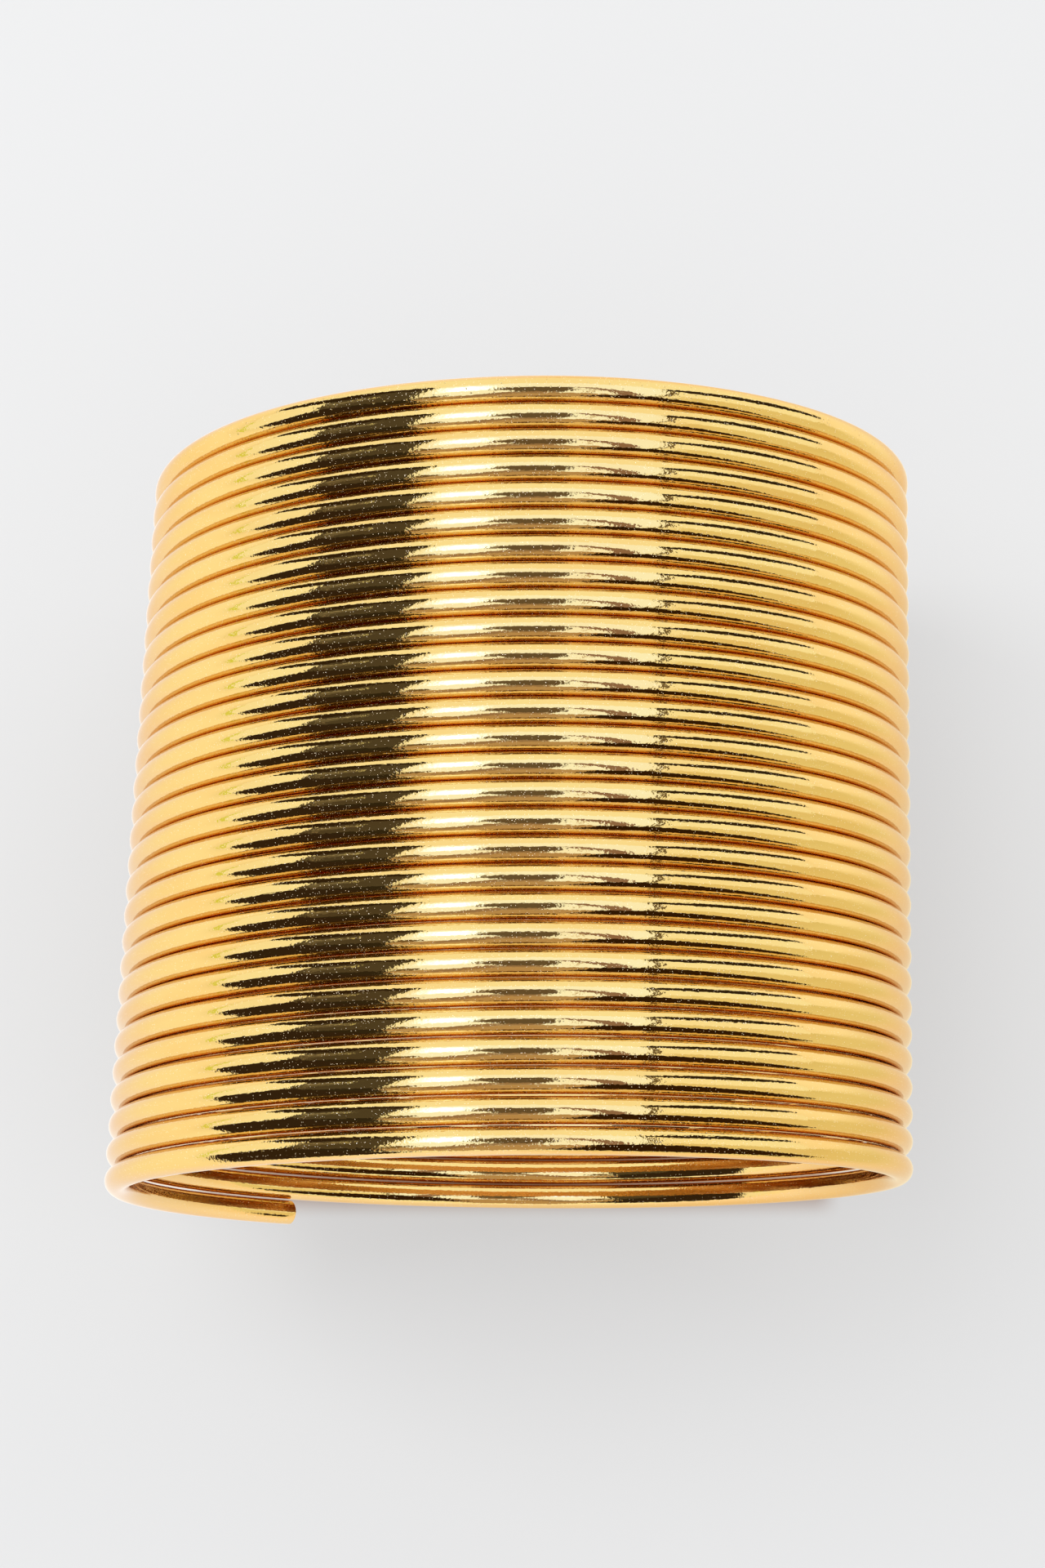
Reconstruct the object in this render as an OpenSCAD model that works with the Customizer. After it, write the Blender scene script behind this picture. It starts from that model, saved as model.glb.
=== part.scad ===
// Coil bangle: one length of round wire, wound close in a single right-handed helix.
// It lies on its side, as it rests by itself: the coil's axis runs along Y, the near end
// with the visible wire end is at -Y, the right side is at +X, and z = 0 is the table.
// The wire is a chain of half turns, over the top and back under the bottom. Each half turn
// is upright and flat, and is a smooth oval of three arcs. They meet at the coil's two sides.

/* [Wire] */
// Diameter of the round wire
wire_d = 2.15; // [2:0.05:2.4]

/* [Coil] */
// Whole turns of wire
turns = 28; // [24:1:32]
// Outer width across the near end
near_width = 68; // [64:0.5:72]
// Outer width across the far end
far_width = 66; // [64:0.5:72]
// Outer height as a share of the outer width
height_ratio = 0.98; // [0.94:0.01:1]
// Sideways lean of the coil along its length, in degrees
lean = 1.8; // [0:0.05:2.5]
// Where both wire ends lie, in degrees from the lowest point towards the left side
end_angle = 38; // [20:0.1:40]

/* [Gaps] */
// Gap between neighbouring turns at the far end
far_gap = 0.04; // [0.04:0.01:0.1]
// Gap between the last two turns at the near end
near_gap = 0.15; // [0.04:0.01:0.3]
// How late along the coil the gap opens, as a power of the share of its length
gap_growth = 4; // [1:1:5]

/* [Hidden] */
wire_r = wire_d / 2;
// Every second arc of wire is this much smaller in radius, and runs this many degrees into
// its neighbours, so that each joint is a clean step
joint_step = 0.004;
joint_lap = 0.05;
half_circle = 180;
// Where an oval's side arcs end and its crown arc begins
shoulder = 44.4;
section_sides = 32;
sweep_sides = 94;

// The wire's angle runs from the coil's right side over its top
cut_angle = half_circle / 2 + end_angle;
far_end = -cut_angle;
near_end = far_end + 2 * half_circle * turns;
first_half = floor(far_end / half_circle);
last_half = floor(near_end / half_circle);

// Share of the wire that lies between the far wire end and an angle
function share(angle) = (angle - far_end) / (near_end - far_end);

// Distance along the axis from the far wire end
function travel(angle) =
    turns * share(angle) * (wire_d + far_gap)
    + turns * (near_gap - far_gap) * pow(share(angle), gap_growth + 1) / (gap_growth + 1);

wound_length = travel(near_end);
function place_y(angle) = wound_length / 2 - travel(angle);
function outer_width(y) =
    (near_width + far_width) / 2 + (far_width - near_width) * y / wound_length;

// The sides of the turns, half a turn apart, are level with the middle of the coil
side_level = height_ratio * (near_width + far_width) / 4;
function side_x(n) =
    let (y = place_y(n * half_circle))
    (n % 2 == 0 ? 1 : -1) * (outer_width(y) - wire_d) / 2 + tan(lean) * y;
side_places = [for (n = [first_half + 1 : last_half]) side_x(n)];
middle_x = (min(side_places) + max(side_places)) / 2;
function side_point(n) = [side_x(n) - middle_x, place_y(n * half_circle)];

// One arc of wire, upright over the X axis, drawn from one angle to another, either way round.
// The angles turn from +X towards +Z. A slim arc laps into its neighbours at both ends.
module wire_arc(centre_x, centre_z, radius, from, to, slim) {
    lap = slim ? joint_lap : 0;
    translate([centre_x, 0, centre_z])
        rotate([90, 0, 0])
            rotate([0, 0, to < from ? from + lap : from - lap])
                mirror([0, to < from ? 1 : 0, 0])
                    rotate_extrude(angle = abs(to - from) + 2 * lap, $fn = sweep_sides)
                        translate([radius, 0])
                            circle(r = slim ? wire_r - joint_step : wire_r, $fn = section_sides);
}

// The upper half of an oval, or what of it lies between two angles.
// Each arc is drawn from a joint, so a cut end never shifts one.
module oval_half(half_width, rise, from, to, slim_sides) {
    flattening = (half_width - rise) / (sin(shoulder) + cos(shoulder) - 1);
    side_r = half_width - flattening * cos(shoulder);
    crown_r = side_r + flattening;
    side_x = half_width - side_r;
    crown_z = rise - crown_r;
    far_shoulder = half_circle - shoulder;
    if (from < shoulder)
        wire_arc(side_x, 0, side_r, 0, shoulder, slim_sides);
    if (from > shoulder)
        wire_arc(0, crown_z, crown_r, far_shoulder, from, !slim_sides);
    else
        wire_arc(0, crown_z, crown_r, shoulder, min(to, far_shoulder), !slim_sides);
    if (to > far_shoulder)
        wire_arc(-side_x, 0, side_r, far_shoulder, half_circle, slim_sides);
}

// Half a turn between two neighbouring side points: the even ones go over the top
module half_turn(n) {
    upper = n % 2 == 0;
    right = side_point(upper ? n : n + 1);
    left = side_point(upper ? n + 1 : n);
    across = right - left;
    middle = (right + left) / 2;
    rise = upper
        ? height_ratio * outer_width(middle.y) - side_level - wire_r
        : side_level - wire_r;
    from = n == last_half ? cut_angle : 0;
    to = n == first_half ? cut_angle : half_circle;
    translate([middle.x, middle.y, side_level])
        rotate([0, 0, atan2(across.y, across.x)])
            rotate([upper ? 0 : half_circle, 0, 0])
                oval_half(norm(across) / 2, rise, from, to, !upper);
}

module wire_coil() {
    color("gold")
        for (n = [first_half : last_half])
            half_turn(n);
}

wire_coil();
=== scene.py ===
"""Coil bangle: one round, polished, gold-plated wire wound close in a single helix.

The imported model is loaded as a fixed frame. The wire is wound again here at a finer grain than
its CAD solid, climbing evenly along the helix, and dressed as drawn and polished plate. It lies
on a pale floor under soft studio light. Lengths are metres and angles are degrees, unless a name
says otherwise.
"""
import logging
import math
from dataclasses import dataclass, field

import bpy
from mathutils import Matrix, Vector


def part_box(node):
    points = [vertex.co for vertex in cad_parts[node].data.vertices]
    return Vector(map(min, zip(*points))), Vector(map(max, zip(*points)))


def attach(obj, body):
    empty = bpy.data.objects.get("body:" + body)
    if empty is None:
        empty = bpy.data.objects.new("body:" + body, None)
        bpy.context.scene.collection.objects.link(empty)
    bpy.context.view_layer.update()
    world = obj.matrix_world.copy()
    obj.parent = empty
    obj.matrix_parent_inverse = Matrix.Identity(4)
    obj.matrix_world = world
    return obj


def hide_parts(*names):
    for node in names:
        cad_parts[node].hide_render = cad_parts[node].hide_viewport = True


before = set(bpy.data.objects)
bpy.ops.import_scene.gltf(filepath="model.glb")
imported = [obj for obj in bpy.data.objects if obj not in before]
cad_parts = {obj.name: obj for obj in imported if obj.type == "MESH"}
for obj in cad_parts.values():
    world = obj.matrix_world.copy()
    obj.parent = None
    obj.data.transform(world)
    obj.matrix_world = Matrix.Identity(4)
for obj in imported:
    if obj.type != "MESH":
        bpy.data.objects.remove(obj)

log = logging.getLogger("coil_bangle")

MM = 0.001
MICRON = 0.001 * MM
COIL_NODE = "wire_coil"
ROOT_BODY = "root"

# Where the lowest point of a turn lies, counted from the coil's right side over its top
LOWEST_POINT = 270.0

# A Mix node's sockets for colours
MIX_SHARE, MIX_BASE, MIX_OTHER, MIX_RESULT = 0, 6, 7, 2

Span = tuple[float, float]
Triple = tuple[float, float, float]
Colour = tuple[float, float, float, float]
Feed = bpy.types.NodeSocket | float | tuple[float, ...]


def opaque(colour: Triple) -> Colour:
    """Gives a colour the alpha of 1 that its socket takes."""
    return (*colour, 1.0)


def make_active(piece: bpy.types.Object) -> None:
    """Selects one object alone and makes it the active one.

    Args:
        piece: The object to work on.
    """
    bpy.ops.object.select_all(action="DESELECT")
    piece.select_set(True)
    bpy.context.view_layer.objects.active = piece


def settle(piece: bpy.types.Object) -> None:
    """Puts an object's place, turn and scale into its mesh."""
    make_active(piece)
    bpy.ops.object.transform_apply(location=True, rotation=True, scale=True)


@dataclass(frozen=True)
class CoilShape:
    """The wound wire's driving sizes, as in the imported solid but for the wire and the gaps.

    The turns all but touch here, so the wire is a hair thicker inside the same outer size.
    """

    wire: float = 2.185 * MM
    turns: int = 28
    near_width: float = 68.0 * MM
    far_width: float = 66.0 * MM
    height_ratio: float = 0.98
    lean: float = 1.8
    far_gap: float = 0.005 * MM
    near_gap: float = 0.1065 * MM
    gap_growth: float = 4.0
    end_angle: float = 38.0

    @property
    def radius(self) -> float:
        """Radius of the round wire."""
        return self.wire / 2

    @property
    def wire_length(self) -> float:
        """Length of the wound wire, taken round the mean turn."""
        return self.turns * math.pi * ((self.near_width + self.far_width) / 2 - self.wire)

    @property
    def side_level(self) -> float:
        """Height of the coil's two sides, where its upper and lower halves meet."""
        return self.height_ratio * (self.near_width + self.far_width) / 4

    @property
    def end_turn(self) -> float:
        """Angle of both wire ends, counted from the right side over the top."""
        return LOWEST_POINT - self.end_angle

    @property
    def length(self) -> float:
        """Distance along the axis between the two ends of the wire's centre line."""
        return self.travel(1.0)

    def travel(self, share: float) -> float:
        """Gives the distance along the axis from the far wire end.

        Args:
            share: Share of the wire's turns between the far end and the point.

        Returns:
            The distance in metres.
        """
        power = self.gap_growth + 1
        growth = (self.near_gap - self.far_gap) * share**power / power
        return self.turns * (share * (self.wire + self.far_gap) + growth)

    def width_at(self, along: float) -> float:
        """Gives the outer width at a distance from the coil's middle towards the far end."""
        middle = (self.near_width + self.far_width) / 2
        return middle + (self.far_width - self.near_width) * along / self.length

    def lean_at(self, along: float) -> float:
        """Gives the shift along X at a distance from the coil's middle towards the far end."""
        return math.tan(math.radians(self.lean)) * along


@dataclass
class WireCoil:
    """The bangle itself: the wire wound as a helix, its ends cut square and eased."""

    shape: CoilShape = field(default_factory=CoilShape)
    steps: int = 128
    section_resolution: int = 10
    cage_sides: int = 2
    cage_rows: int = 15
    cage_levels: int = 3
    weld_distance: float = 1.0 * MICRON
    sharp_angle: float = 60.0
    rim_ease: float = 0.07 * MM
    rim_segments: int = 3

    def wind_path(self) -> bpy.types.Object:
        """Winds one point into an even helix, from the near end to the far end.

        Returns:
            A mesh of edges along the wire's centre line.
        """
        shape = self.shape
        radius = (shape.near_width - shape.wire) / 2
        turn = math.radians(shape.end_turn)
        start = (radius * math.cos(turn), -shape.length / 2, radius * math.sin(turn))
        bpy.ops.mesh.primitive_plane_add(size=shape.wire, location=start)
        path = bpy.context.object
        path.name = COIL_NODE + "_wound"
        bpy.ops.object.mode_set(mode="EDIT")
        bpy.ops.mesh.select_all(action="SELECT")
        bpy.ops.mesh.merge(type="CENTER")
        bpy.ops.object.mode_set(mode="OBJECT")
        settle(path)
        wind = path.modifiers.new("wind", "SCREW")
        wind.axis = "Y"
        wind.angle = math.tau
        wind.screw_offset = shape.length / shape.turns
        wind.iterations = shape.turns
        wind.steps = self.steps
        wind.render_steps = self.steps
        bpy.ops.object.modifier_apply(modifier=wind.name)
        return path

    def place_in_cage(self, side: float, along: float, height: float) -> Vector:
        """Gives where a point of the even helix's box goes on the real coil.

        Args:
            side: -1 at the box's left side and 1 at its right side.
            along: 0 at the box's far end and 1 at its near end.
            height: -1 at the box's bottom, 0 at its sides and 1 at its top.

        Returns:
            The place in the row frame.
        """
        shape = self.shape
        y = shape.length / 2 - shape.travel(along)
        half_width = (shape.width_at(y) - shape.wire) / 2
        x = side * half_width + shape.lean_at(y)
        drop = shape.side_level - shape.radius
        rise = shape.height_ratio * shape.width_at(y) - shape.side_level - shape.radius
        return Vector((x, y, shape.side_level + height * (rise if height > 0 else drop)))

    def shape_path(self, path: bpy.types.Object) -> None:
        """Tapers, leans, flattens and spreads the even helix with a lattice cage.

        Args:
            path: The even helix round the Y axis.
        """
        shape = self.shape
        across = shape.near_width - shape.wire
        bpy.ops.object.add(type="LATTICE", location=(0, 0, 0))
        cage = bpy.context.object
        cage.scale = (across, shape.length, across)
        cage.data.points_u = self.cage_sides
        cage.data.points_v = self.cage_rows
        cage.data.points_w = self.cage_levels
        cage.data.interpolation_type_u = "KEY_LINEAR"
        cage.data.interpolation_type_v = "KEY_CARDINAL"
        cage.data.interpolation_type_w = "KEY_LINEAR"
        bpy.context.view_layer.update()
        to_cage = cage.matrix_world.inverted()
        # A lattice's own places run from -0.5 to 0.5 along each axis
        for point in cage.data.points:
            side, along, height = point.co
            place = self.place_in_cage(2 * side, 0.5 - along, 2 * height)
            point.co_deform = to_cage @ place
        make_active(path)
        bend = path.modifiers.new("cage", "LATTICE")
        bend.object = cage
        bpy.ops.object.modifier_apply(modifier=bend.name)
        bpy.data.objects.remove(cage)

    def sweep_wire(self, path: bpy.types.Object) -> bpy.types.Object:
        """Sweeps the round section along the centre line and closes both ends.

        Args:
            path: The shaped centre line.

        Returns:
            The closed mesh of the wire. Its UV map runs along the wire in X and round it in Y.
        """
        make_active(path)
        bpy.ops.object.convert(target="CURVE")
        wire = bpy.context.object
        wire.data.bevel_depth = self.shape.radius
        wire.data.bevel_resolution = self.section_resolution
        wire.data.use_fill_caps = True
        bpy.ops.object.convert(target="MESH")
        return bpy.context.object

    def ease_ends(self, wire: bpy.types.Object) -> None:
        """Welds the square-cut end faces on and eases their rims.

        Args:
            wire: The swept wire.
        """
        make_active(wire)
        bpy.ops.object.mode_set(mode="EDIT")
        bpy.ops.mesh.select_mode(type="VERT")
        bpy.ops.mesh.select_all(action="SELECT")
        bpy.ops.mesh.remove_doubles(threshold=self.weld_distance)
        bpy.ops.mesh.normals_make_consistent(inside=False)
        bpy.ops.mesh.select_all(action="DESELECT")
        bpy.ops.mesh.select_mode(type="EDGE")
        bpy.ops.mesh.edges_select_sharp(sharpness=math.radians(self.sharp_angle))
        bpy.ops.mesh.bevel(offset=self.rim_ease, segments=self.rim_segments, affect="EDGES")
        bpy.ops.object.mode_set(mode="OBJECT")
        bpy.ops.object.shade_smooth()

    def build(self, finish: bpy.types.Material) -> bpy.types.Object:
        """Builds the whole wire and dresses it.

        Args:
            finish: The plated metal's material.

        Returns:
            The finished piece.
        """
        path = self.wind_path()
        self.shape_path(path)
        wire = self.sweep_wire(path)
        self.ease_ends(wire)
        low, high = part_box(COIL_NODE)
        for axis in range(3):
            own = [corner[axis] for corner in wire.bound_box]
            wire.location[axis] = (low[axis] + high[axis] - min(own) - max(own)) / 2
        settle(wire)
        wire.data.materials.clear()
        wire.data.materials.append(finish)
        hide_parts(COIL_NODE)
        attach(wire, ROOT_BODY)
        return wire


@dataclass(frozen=True)
class Dots:
    """Scattered round dots, one a cell at most. The radius and the share kept are of the cells."""

    per_mm: float
    radius: float
    share: float


class NodeBook:
    """Adds and joins the nodes of one material, world or node group."""

    def __init__(self, tree: bpy.types.NodeTree) -> None:
        """Takes the node tree to write in."""
        self.tree = tree

    def add(self, kind: str, **settings: object) -> bpy.types.Node:
        """Adds a node.

        Args:
            kind: The node's type name without its "ShaderNode" start.
            settings: Properties of the node to set.

        Returns:
            The new node.
        """
        prefix = "" if kind.startswith("Node") else "ShaderNode"
        node = self.tree.nodes.new(prefix + kind)
        for name, value in settings.items():
            setattr(node, name, value)
        return node

    def join(self, source: Feed, target: bpy.types.NodeSocket) -> None:
        """Feeds a socket from another socket, or sets its value.

        Args:
            source: An output socket, a number or a tuple.
            target: The input socket.
        """
        if isinstance(source, bpy.types.NodeSocket):
            self.tree.links.new(source, target)
        else:
            target.default_value = source

    def show(self, shader: bpy.types.NodeSocket) -> None:
        """Makes a shader the material's surface."""
        self.join(shader, self.add("OutputMaterial").inputs["Surface"])

    def give(self, results: dict[str, Feed]) -> None:
        """Makes sockets the group's results.

        Args:
            results: The group's output names and what feeds them.
        """
        end = self.add("NodeGroupOutput")
        for name, result in results.items():
            self.join(result, end.inputs[name])

    def math(self, operation: str, *values: Feed) -> bpy.types.NodeSocket:
        """Adds a Math node.

        Args:
            operation: The operation's name.
            values: Its inputs, as sockets or numbers.

        Returns:
            The result's socket.
        """
        node = self.add("Math", operation=operation)
        for value, socket in zip(values, node.inputs):
            self.join(value, socket)
        return node.outputs[0]

    def ramp(self, value: Feed, low: float, high: float) -> bpy.types.NodeSocket:
        """Maps a value smoothly from low to high onto 0 to 1.

        Args:
            value: The value's socket.
            low: The value that gives 0.
            high: The value that gives 1.

        Returns:
            The result's socket.
        """
        node = self.add("MapRange", interpolation_type="SMOOTHSTEP")
        self.join(value, node.inputs["Value"])
        self.join(low, node.inputs["From Min"])
        self.join(high, node.inputs["From Max"])
        return node.outputs["Result"]

    def scaled(self, place: Feed, scale: Triple) -> bpy.types.NodeSocket:
        """Scales a place along its three axes.

        Args:
            place: The place's socket.
            scale: The factors.

        Returns:
            The scaled place.
        """
        node = self.add("VectorMath", operation="MULTIPLY")
        self.join(place, node.inputs[0])
        self.join(scale, node.inputs[1])
        return node.outputs[0]

    def noise(self, place: Feed, waves: Triple, detail: float = 2.0) -> bpy.types.NodeSocket:
        """Adds smooth noise of 0 to 1, with its middle at 0.5.

        Args:
            place: The place's socket.
            waves: Waves per unit along the three axes.
            detail: How many finer layers are added.

        Returns:
            The noise's socket.
        """
        node = self.add("TexNoise")
        self.join(self.scaled(place, waves), node.inputs["Vector"])
        self.join(1.0, node.inputs["Scale"])
        self.join(detail, node.inputs["Detail"])
        return node.outputs["Fac"]

    def dots(self, place: Feed, dots: Dots) -> bpy.types.NodeSocket:
        """Adds scattered round dots.

        Args:
            place: The socket of the place in millimetres.
            dots: The dots' sizes.

        Returns:
            A mask, 1 in the dots.
        """
        cells = self.add("TexVoronoi")
        self.join(place, cells.inputs["Vector"])
        self.join(dots.per_mm, cells.inputs["Scale"])
        chosen = self.add("SeparateColor")
        self.join(cells.outputs["Color"], chosen.inputs[0])
        kept = self.math("GREATER_THAN", chosen.outputs[0], 1.0 - dots.share)
        inside = self.ramp(cells.outputs["Distance"], dots.radius, dots.radius / 2)
        return self.math("MULTIPLY", kept, inside)

    def mixed(self, share: Feed, base: Feed, other: Feed) -> bpy.types.NodeSocket:
        """Mixes two colours.

        Args:
            share: Share of the second colour.
            base: The first colour.
            other: The second colour.

        Returns:
            The mixed colour's socket.
        """
        mix = self.add("Mix", data_type="RGBA")
        for value, socket in ((share, MIX_SHARE), (base, MIX_BASE), (other, MIX_OTHER)):
            self.join(value, mix.inputs[socket])
        return mix.outputs[MIX_RESULT]

    def by_view(self, straight: Feed, mirrored: Feed) -> bpy.types.NodeSocket:
        """Gives one colour to the camera and as light, and another in the metal's reflections."""
        return self.mixed(self.add("LightPath").outputs["Is Glossy Ray"], straight, mirrored)


def new_group(
    name: str, inputs: dict[str, str], outputs: dict[str, str]
) -> bpy.types.NodeTree:
    """Makes an empty shader node group with named sockets.

    Args:
        name: The group's name.
        inputs: Socket names and their types, such as "Float" or "Vector".
        outputs: Socket names and their types.

    Returns:
        The group's tree.
    """
    group = bpy.data.node_groups.new(name, "ShaderNodeTree")
    for in_out, sockets in (("INPUT", inputs), ("OUTPUT", outputs)):
        for socket, kind in sockets.items():
            group.interface.new_socket(
                name=socket, in_out=in_out, socket_type="NodeSocket" + kind
            )
    return group


def new_material(name: str) -> tuple[bpy.types.Material, NodeBook]:
    """Makes an empty material.

    Args:
        name: The material's name.

    Returns:
        The material, and the book that writes its nodes.
    """
    material = bpy.data.materials.new(name)
    material.use_nodes = True
    material.node_tree.nodes.clear()
    return material, NodeBook(material.node_tree)


@dataclass(frozen=True)
class WireCoordinates:
    """A group that gives places on the wire, unrolled but without a seam.

    Its place is in millimetres: X and Y go round the wire's section and Z along its length. Its
    turn counts the turns from the far wire end.
    """

    radius_mm: float
    length_mm: float
    turns: int

    def build(self) -> bpy.types.NodeTree:
        """Builds the group.

        Returns:
            The group.
        """
        group = new_group("wire_coordinates", {}, {"Place": "Vector", "Turn": "Float"})
        book = NodeBook(group)
        parts = book.add("SeparateXYZ")
        book.join(book.add("UVMap").outputs["UV"], parts.inputs[0])
        around = book.math("MULTIPLY", parts.outputs["Y"], math.tau)
        place = book.add("CombineXYZ")
        for operation, socket in (("COSINE", "X"), ("SINE", "Y")):
            turned = book.math(operation, around)
            book.join(book.math("MULTIPLY", turned, self.radius_mm), place.inputs[socket])
        along = book.math("MULTIPLY", parts.outputs["X"], self.length_mm)
        book.join(along, place.inputs["Z"])
        turn = book.math("MULTIPLY", parts.outputs["X"], self.turns)
        book.give({"Place": place.outputs[0], "Turn": turn})
        return group


@dataclass(frozen=True)
class PlateWear:
    """A group that gives the marks on the plate, from drawn lines and ripples to pits and dust.

    Heights are in micrometres. Waves are counted per millimetre: twice for the wire's section,
    then once for its length. A mask goes from 0 to 1 between the two values of its span, which
    are turns from the far wire end for the two spans that name a turn. The grain is on the
    near turn, and the pits and scratches are on the far one.
    """

    line_height: float = 3.0
    line_waves: Triple = (9.0, 9.0, 0.4)
    ripple_height: float = 9.0
    ripple_waves: Triple = (0.3, 0.3, 0.06)
    peel_height: float = 8.0
    peel_waves: Triple = (6.0, 6.0, 3.0)
    grain_height: float = 7.0
    grain_waves: Triple = (5.0, 5.0, 5.0)
    plain_detail: float = 1.0
    pit_height: float = -14.0
    pits: Dots = Dots(per_mm=3.0, radius=0.25, share=0.25)
    scratch_height: float = -3.0
    scratch_waves: Triple = (12.0, 12.0, 0.5)
    scratch_span: Span = (0.63, 0.70)
    scratch_dullness: float = 0.5
    patch_waves: Triple = (0.1, 0.1, 0.05)
    patch_span: Span = (0.5, 0.62)
    specks: Dots = Dots(per_mm=2.6, radius=0.10, share=0.16)
    fine_dust: Dots = Dots(per_mm=9.0, radius=0.34, share=0.14)
    fine_dust_cover: float = 0.6
    tone_waves: Triple = (0.4, 0.4, 0.1)
    tone_span: Span = (0.35, 0.75)
    near_turn_span: Span = (26.9, 27.5)
    far_turn_span: Span = (1.3, 0.6)

    def build(self) -> bpy.types.NodeTree:
        """Builds the group.

        Returns:
            The group.
        """
        group = new_group(
            "plate_wear",
            {"Place": "Vector", "Turn": "Float"},
            {"Height": "Float", "Dust": "Float", "Dull": "Float", "Tone": "Float"},
        )
        book = NodeBook(group)
        start = book.add("NodeGroupInput")
        place, turn = start.outputs["Place"], start.outputs["Turn"]
        near_turn = book.ramp(turn, *self.near_turn_span)
        far_turn = book.ramp(turn, *self.far_turn_span)
        patches = book.ramp(book.noise(place, self.patch_waves), *self.patch_span)
        strands = book.ramp(book.noise(place, self.scratch_waves), *self.scratch_span)
        scratches = book.math("MULTIPLY", strands, book.math("MULTIPLY", patches, far_turn))
        pits = book.math("MULTIPLY", book.dots(place, self.pits), far_turn)
        grain_noise = book.noise(place, self.grain_waves, self.plain_detail)
        marks = (
            (book.noise(place, self.line_waves), self.line_height),
            (book.noise(place, self.ripple_waves, self.plain_detail), self.ripple_height),
            (book.noise(place, self.peel_waves, self.plain_detail), self.peel_height),
            (book.math("MULTIPLY", grain_noise, near_turn), self.grain_height),
            (pits, self.pit_height),
            (scratches, self.scratch_height),
        )
        height = 0.0
        for mark, depth in marks:
            height = book.math("ADD", height, book.math("MULTIPLY", mark, depth))
        fine_dust = book.math("MULTIPLY", book.dots(place, self.fine_dust), self.fine_dust_cover)
        dull_scratches = book.math("MULTIPLY", scratches, self.scratch_dullness)
        book.give({
            "Height": height,
            "Dust": book.math("MAXIMUM", book.dots(place, self.specks), fine_dust),
            "Dull": book.math("MAXIMUM", dull_scratches, pits),
            "Tone": book.ramp(book.noise(place, self.tone_waves), *self.tone_span),
        })
        return group


@dataclass(frozen=True)
class PolishedPlate:
    """Bright gold-tone plate over drawn wire: a mirror with fine lines, dust and pits."""

    coil: CoilShape
    colour: Colour = (0.82, 0.56, 0.24, 1.0)
    warm_colour: Colour = (0.81, 0.52, 0.21, 1.0)
    dust_colour: Colour = (0.92, 0.84, 0.70, 1.0)
    edge_tint: Colour = (0.85, 0.80, 0.80, 1.0)
    roughness: float = 0.03
    dull_roughness: float = 0.30
    dust_roughness: float = 0.60

    def build(self) -> bpy.types.Material:
        """Builds the material.

        Returns:
            The plated metal.
        """
        material, book = new_material("polished_plate")
        shader = book.add("BsdfPrincipled")
        book.show(shader.outputs["BSDF"])
        coordinates = WireCoordinates(
            self.coil.radius / MM, self.coil.wire_length / MM, self.coil.turns
        )
        place = book.add("Group", node_tree=coordinates.build())
        wear = book.add("Group", node_tree=PlateWear().build())
        for name in ("Place", "Turn"):
            book.join(place.outputs[name], wear.inputs[name])
        dust = wear.outputs["Dust"]
        tone = book.mixed(wear.outputs["Tone"], self.colour, self.warm_colour)
        book.join(book.mixed(dust, tone, self.dust_colour), shader.inputs["Base Color"])
        book.join(book.math("SUBTRACT", 1.0, dust), shader.inputs["Metallic"])
        dulled = book.math("MULTIPLY_ADD", wear.outputs["Dull"], self.dull_roughness, self.roughness)
        dusted = book.math("MULTIPLY", dust, self.dust_roughness)
        book.join(book.math("MAXIMUM", dulled, dusted), shader.inputs["Roughness"])
        book.join(self.edge_tint, shader.inputs["Specular Tint"])
        bump = book.add("Bump")
        book.join(MICRON, bump.inputs["Distance"])
        book.join(wear.outputs["Height"], bump.inputs["Height"])
        book.join(bump.outputs["Normal"], shader.inputs["Normal"])
        return material


@dataclass(frozen=True)
class Card:
    """A sheet above or beside the coil that shows only in the metal.

    Each corner is the direction in which the wire mirrors it: degrees towards the right, then
    degrees towards the far end, both from straight up. The reach is the card's distance from
    the wire's surface, and soft is the width of the rim in which the card fades out.
    """

    name: str
    light: Triple
    reach: float
    soft: float
    corners: tuple[tuple[float, float], ...]

    def build_material(self) -> bpy.types.Material:
        """Makes the card's material, which fades out at the card's edge.

        Returns:
            The material.
        """
        material, book = new_material(self.name)
        glow = book.add("Emission")
        book.join(opaque(self.light), glow.inputs["Color"])
        clear = book.add("BsdfTransparent")
        cover = book.add("Attribute", attribute_name="cover")
        mix = book.add("MixShader")
        sources = (cover.outputs["Fac"], clear.outputs[0], glow.outputs[0])
        for source, socket in zip(sources, mix.inputs):
            book.join(source, socket)
        book.show(mix.outputs[0])
        return material


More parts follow.
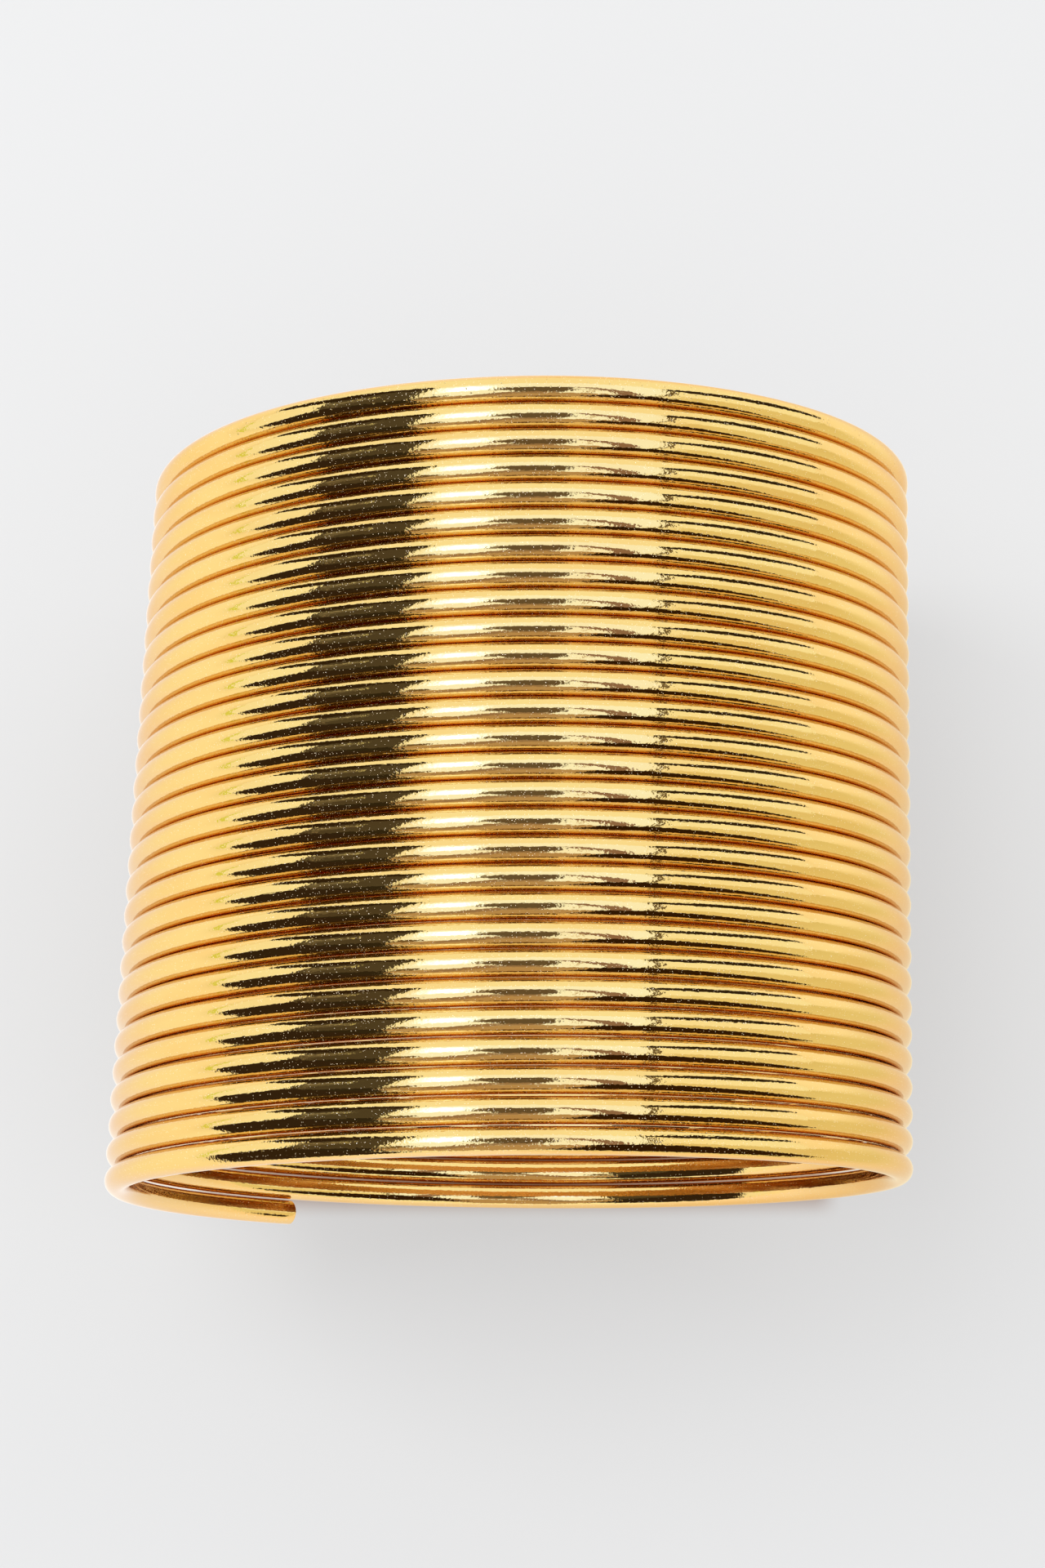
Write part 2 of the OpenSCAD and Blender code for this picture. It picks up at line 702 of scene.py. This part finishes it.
CARDS = (
    Card("bright_wall", light=(1.2, 1.5, 1.82), reach=0.90, soft=0.08, corners=(
        (-28, 34), (-10, 38), (20, 38), (40, 30), (41, 0), (41, -45), (20, -60), (-30, -60),
        (-38, -45), (-31, 0))),
    Card("warm_wall", light=(0.952, 0.927, 0.553), reach=0.90, soft=0.12, corners=(
        (42, -12), (70, -6), (110, -2), (128, -8), (125, -40), (100, -52), (60, -52), (43, -45))),
    Card("window", light=(1.74, 2.8, 5.13), reach=0.50, soft=0.065, corners=(
        (-27, 24), (-8, 26), (-8, -4), (-11, -13), (-28, -14))),
    Card("low_wall", light=(0.567, 0.438, 0.269), reach=0.60, soft=0.02, corners=(
        (-50, -38), (-20, -46), (0, -42), (25, -42), (40, -46), (44, -84), (-70, -84))),
    Card("left_flag", light=(0.0915, 0.0831, 0.0592), reach=0.37, soft=0.006, corners=(
        (-28, 34), (-29, 14), (-30.5, 0), (-33, -20), (-37, -36), (-43, -50), (-60, -68),
        (-64, -20), (-64, 0), (-62.5, 15), (-63, 34))),
    Card("left_flag_top", light=(0.0366, 0.0245, 0.0118), reach=0.36, soft=0.006, corners=(
        (-28, 28), (-29, 40), (-42, 45), (-55, 49), (-75, 52), (-108, 53), (-96, 44), (-76, 35),
        (-62, 26), (-45, 22))),
    Card("left_flag_foot", light=(0.0366, 0.0306, 0.0174), reach=0.35, soft=0.012, corners=(
        (-34, -18), (-37, -33), (-43, -48), (-60, -72), (-66, -20), (-50, -15))),
    Card("low_left_flag", light=(0.0384, 0.0262, 0.0158), reach=0.20, soft=0.004, corners=(
        (-61, -5), (-72, -9), (-89, -13), (-93, -26), (-99, -42), (-125, -58), (-120, -80),
        (-60, -80), (-56, -40))),
    Card("left_flag_toe", light=(0.201, 0.149, 0.079), reach=0.345, soft=0.008, corners=(
        (-34, -28), (-26, -36), (-30, -45), (-44, -50))),
    Card("flag_sheen", light=(0.165, 0.158, 0.118), reach=0.33, soft=0.012, corners=(
        (-42, 14), (-61, 17), (-60, -14), (-44, -12))),
    Card("flag_slit", light=(0.686, 0.744, 0.474), reach=0.32, soft=0.001, corners=(
        (-44.6, 16), (-45.6, 16), (-45.4, 0), (-42.6, -13), (-42.0, -12), (-44.2, 0))),
    Card("flag_slit_left", light=(0.686, 0.744, 0.514), reach=0.32, soft=0.001, corners=(
        (-48.2, 17), (-49.2, 17), (-51.4, 4), (-50.6, -12), (-49.8, -12), (-50.4, 4))),
    Card("flag_patch", light=(0.366, 0.367, 0.284), reach=0.325, soft=0.006, corners=(
        (-43, 12), (-60, 17), (-60, 4), (-45, 2))),
    Card("flag_patch_low", light=(0.686, 0.595, 0.49), reach=0.32, soft=0.005, corners=(
        (-54, 0), (-58, 0), (-58.5, -12), (-54.5, -12))),
    Card("camera_top", light=(0.329, 0.315, 0.284), reach=0.32, soft=0.010, corners=(
        (-10, 5), (-5, 10), (11, 10), (13, -10), (-4, -16), (-12, -16))),
    Card("camera", light=(0.156, 0.131, 0.0948), reach=0.31, soft=0.010, corners=(
        (-7, 6), (12.5, 8), (14, -20), (11, -34), (-4, -34), (-6, -20), (-10, -14))),
    Card("camera_foot", light=(0.384, 0.298, 0.213), reach=0.305, soft=0.014, corners=(
        (-5, -30), (11, -30), (12, -46), (-7, -46))),
    Card("gap_line", light=(0.64, 0.542, 0.395), reach=0.30, soft=0.002, corners=(
        (17.3, -8), (18.6, -8), (19.2, -32), (18, -32))),
    Card("right_strut", light=(0.329, 0.236, 0.205), reach=0.34, soft=0.005, corners=(
        (11, 10), (17, 8), (25, -2), (30, -12), (34, -24), (37, -40), (42, -48), (31, -48),
        (26.5, -32), (23, -19), (18, -8))),
    Card("left_strut", light=(0.384, 0.289, 0.213), reach=0.32, soft=0.006, corners=(
        (-4, -24), (-3, -42), (-10, -55), (-26, -66), (-44, -66), (-24, -50), (-12, -36))),
    Card("right_post", light=(0.183, 0.149, 0.079), reach=0.60, soft=0.003, corners=(
        (38.8, 24), (41.4, 24), (41.7, -20), (43, -46), (40.3, -46), (39.2, -20))),
    Card("right_blob", light=(0.0366, 0.0262, 0.0142), reach=0.28, soft=0.009, corners=(
        (38, 21), (39, 33), (50, 40), (64, 44), (84, 43), (101, 35), (96, 25), (70, 20), (50, 19))),
    Card("low_right_flag", light=(0.0348, 0.0158, 0.00316), reach=0.18, soft=0.006, corners=(
        (26, -45), (41, -34), (60, -37), (80, -40), (120, -42), (115, -84), (26, -84))),
    Card("green_line", light=(0.869, 1.05, 0.237), reach=0.30, soft=0.003, corners=(
        (-88, 22), (-90.5, 22), (-94, 4), (-93.5, -14), (-90.5, -14), (-90.5, 4))),
)


@dataclass(frozen=True)
class PaleFloor:
    """The floor's finish: pale and dull, with a glow that lifts its shadows.

    The glow is a little stronger on the far side than on the near side, a painted light gradient.
    In the metal's reflections the floor shows other glows, painted reflected light and shade: lit
    on the left and the far right, a painted shade warmed by painted bounce light on the near right
    where the coil shades the floor, and glows of their own for the strips close to the coil's two
    sides. Under the coil the glow is weak and warm for both, a painted contact shadow. Spans are
    places along X or Y, between which one colour gives way to the next.
    """

    tone: Triple = (0.235, 0.235, 0.235)
    near_glow: float = 0.41
    far_glow: float = 0.435
    glow_tint: Triple = (1.0, 1.012, 1.03)
    glow_span: Span = (-0.07, 0.06)
    # Painted reflected light and shade, seen only in the metal: the near part of the right side and
    # the right strip close to the coil are painted shade warmed by painted bounce light
    left: Triple = (0.79, 0.83, 0.58)
    left_close: Triple = (0.82, 0.81, 0.76)
    right_near_painted_shade: Triple = (0.57, 0.56, 0.18)
    right_far: Triple = (0.84, 0.87, 0.64)
    right_close_painted_shade: Triple = (0.78, 0.68, 0.42)
    right_span: Span = (-0.01, 0.03)
    far_span: Span = (-0.03, 0.05)
    close_span: Span = (0.105, 0.048)
    # Painted contact shadow: a weak warm glow in a square under the coil, for the camera and the
    # metal alike
    contact_shadow_span: Span = (0.031, 0.028)
    painted_contact_shadow: Triple = (0.16, 0.07, 0.035)

    def tinted(self, level: float) -> Colour:
        """Gives the colour of a glow of this level."""
        return opaque(tuple(level * share for share in self.glow_tint))

    def build(self) -> bpy.types.Material:
        """Builds the material.

        Returns:
            The floor's material.
        """
        material, book = new_material("pale_floor")
        shader = book.add("BsdfPrincipled")
        book.show(shader.outputs["BSDF"])
        book.join(opaque(self.tone), shader.inputs["Base Color"])
        book.join(1.0, shader.inputs["Roughness"])
        book.join(0.0, shader.inputs["Specular IOR Level"])
        parts = book.add("SeparateXYZ")
        book.join(book.add("TexCoord").outputs["Object"], parts.inputs[0])
        across, along = parts.outputs["X"], parts.outputs["Y"]
        side = book.math("ABSOLUTE", across)
        # Mask of the painted contact shadow under the coil
        painted_shadow_mask = book.math(
            "MULTIPLY",
            book.ramp(side, *self.contact_shadow_span),
            book.ramp(book.math("ABSOLUTE", along), *self.contact_shadow_span),
        )
        glow = book.mixed(
            book.ramp(along, *self.glow_span), self.tinted(self.near_glow), self.tinted(self.far_glow)
        )
        rightness = book.ramp(across, *self.right_span)
        farness = book.ramp(along, *self.far_span)
        right = book.mixed(farness, opaque(self.right_near_painted_shade), opaque(self.right_far))
        wide = book.mixed(rightness, opaque(self.left), right)
        close = book.mixed(rightness, opaque(self.left_close), opaque(self.right_close_painted_shade))
        # The floor's painted reflected light and shade, for glossy rays only
        mirrored = book.mixed(book.ramp(side, *self.close_span), wide, close)
        seen = book.mixed(painted_shadow_mask, book.by_view(glow, mirrored), opaque(self.painted_contact_shadow))
        book.join(seen, shader.inputs["Emission Color"])
        book.join(1.0, shader.inputs["Emission Strength"])
        return material


@dataclass
class Studio:
    """Floor, soft light, cards and camera. None of it belongs to the bangle.

    The cards and the window light are placed by the direction in which a round coil mirrors
    them. Its radius and its axis's height are mirror_radius and axis_height.
    """

    floor_finish: PaleFloor = field(default_factory=PaleFloor)
    floor_size: float = 6.0
    room_light: Triple = (1.46, 1.46, 1.46)
    mirrored_room: Triple = (1.18, 1.30, 1.12)
    window_size: tuple[float, float] = (0.20, 0.35)
    window_power: float = 1.6
    window_right: float = -24.0
    window_far: float = 8.0
    window_reach: float = 0.5
    mirror_radius: float = 34.0 * MM
    axis_height: float = 33.0 * MM
    camera_place: Triple = (0.65 * MM, -54.735 * MM, 315.54 * MM)
    camera_tilt: float = 11.775
    camera_roll: float = 0.047
    camera_clip: float = 10.0 * MM
    lens_mm: float = 76.465
    glossy_bounces: int = 16

    def build_floor(self) -> bpy.types.Object:
        """Lays the pale floor.

        Returns:
            The floor.
        """
        bpy.ops.mesh.primitive_plane_add(size=self.floor_size, location=(0, 0, 0))
        floor = bpy.context.object
        floor.name = "floor"
        floor.data.materials.append(self.floor_finish.build())
        return floor

    def mirrored_place(self, right: float, far: float, reach: float) -> Vector:
        """Gives where a card's corner stands for the wire to mirror it in one direction.

        Args:
            right: Degrees from straight up towards the right.
            far: Degrees from straight up towards the far end.
            reach: Distance from the wire's surface to the corner.

        Returns:
            The place in the row frame.
        """
        turn, rise = math.radians(right), math.radians(far)
        surface = Vector((math.sin(turn / 2), 0, math.cos(turn / 2))) * self.mirror_radius
        surface.z += self.axis_height
        way = Vector(
            (math.sin(turn) * math.cos(rise), math.sin(rise), math.cos(turn) * math.cos(rise))
        )
        return surface + way * reach

    def build_card(self, card: Card) -> bpy.types.Object:
        """Hangs one card.

        Args:
            card: The card.

        Returns:
            The card's object.
        """
        rim = len(card.corners)
        bpy.ops.mesh.primitive_circle_add(vertices=rim, fill_type="NGON")
        sheet = bpy.context.object
        sheet.name = card.name
        for vertex, (right, far) in zip(sheet.data.vertices, card.corners):
            vertex.co = self.mirrored_place(right, far, card.reach)
        bpy.ops.object.mode_set(mode="EDIT")
        bpy.ops.mesh.select_all(action="SELECT")
        bpy.ops.mesh.inset(thickness=card.soft)
        bpy.ops.object.mode_set(mode="OBJECT")
        # The inset's own points come after the outline's
        cover = sheet.data.attributes.new("cover", "FLOAT", "POINT")
        for index, value in enumerate(cover.data):
            value.value = 0.0 if index < rim else 1.0
        sheet.data.materials.append(card.build_material())
        sheet.visible_camera = False
        sheet.visible_diffuse = False
        sheet.visible_shadow = False
        return sheet

    def build_light(self) -> None:
        """Lights the room evenly, with one soft window light above on the left."""
        world = bpy.data.worlds.new("studio")
        bpy.context.scene.world = world
        world.use_nodes = True
        book = NodeBook(world.node_tree)
        room = book.by_view(opaque(self.room_light), opaque(self.mirrored_room))
        book.join(room, world.node_tree.nodes["Background"].inputs["Color"])
        data = bpy.data.lights.new("window_light", "AREA")
        data.shape = "RECTANGLE"
        data.size, data.size_y = self.window_size
        data.energy = self.window_power
        light = bpy.data.objects.new("window_light", data)
        bpy.context.scene.collection.objects.link(light)
        light.location = self.mirrored_place(
            self.window_right, self.window_far, self.window_reach
        )
        aim = Vector((0, 0, self.axis_height)) - light.location
        light.rotation_euler = aim.to_track_quat("-Z", "Y").to_euler()
        light.visible_glossy = False
        light.visible_camera = False

    def build_camera(self) -> bpy.types.Object:
        """Sets the camera where the photograph was taken from.

        Returns:
            The camera.
        """
        data = bpy.data.cameras.new("camera")
        data.lens = self.lens_mm
        data.clip_start = self.camera_clip
        camera = bpy.data.objects.new("camera", data)
        bpy.context.scene.collection.objects.link(camera)
        camera.location = self.camera_place
        camera.rotation_mode = "ZYX"
        camera.rotation_euler = (
            math.radians(self.camera_tilt), 0, math.radians(self.camera_roll)
        )
        bpy.context.scene.camera = camera
        return camera

    def build(self) -> None:
        """Builds the whole studio."""
        self.build_camera()
        self.build_floor()
        self.build_light()
        for card in CARDS:
            self.build_card(card)
        scene = bpy.context.scene
        scene.view_settings.view_transform = "Standard"
        scene.cycles.max_bounces = self.glossy_bounces
        scene.cycles.glossy_bounces = self.glossy_bounces


def main() -> None:
    """Builds the bangle and its studio, and reports each piece."""
    logging.basicConfig(level=logging.INFO, format="%(name)s: %(message)s")
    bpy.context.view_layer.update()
    coil = WireCoil()
    finish = PolishedPlate(coil.shape).build()
    wire = coil.build(finish)
    log.info("%s: %d faces", wire.name, len(wire.data.polygons))
    Studio().build()
    log.info("studio: %d cards", len(CARDS))


if __name__ == "__main__":
    main()
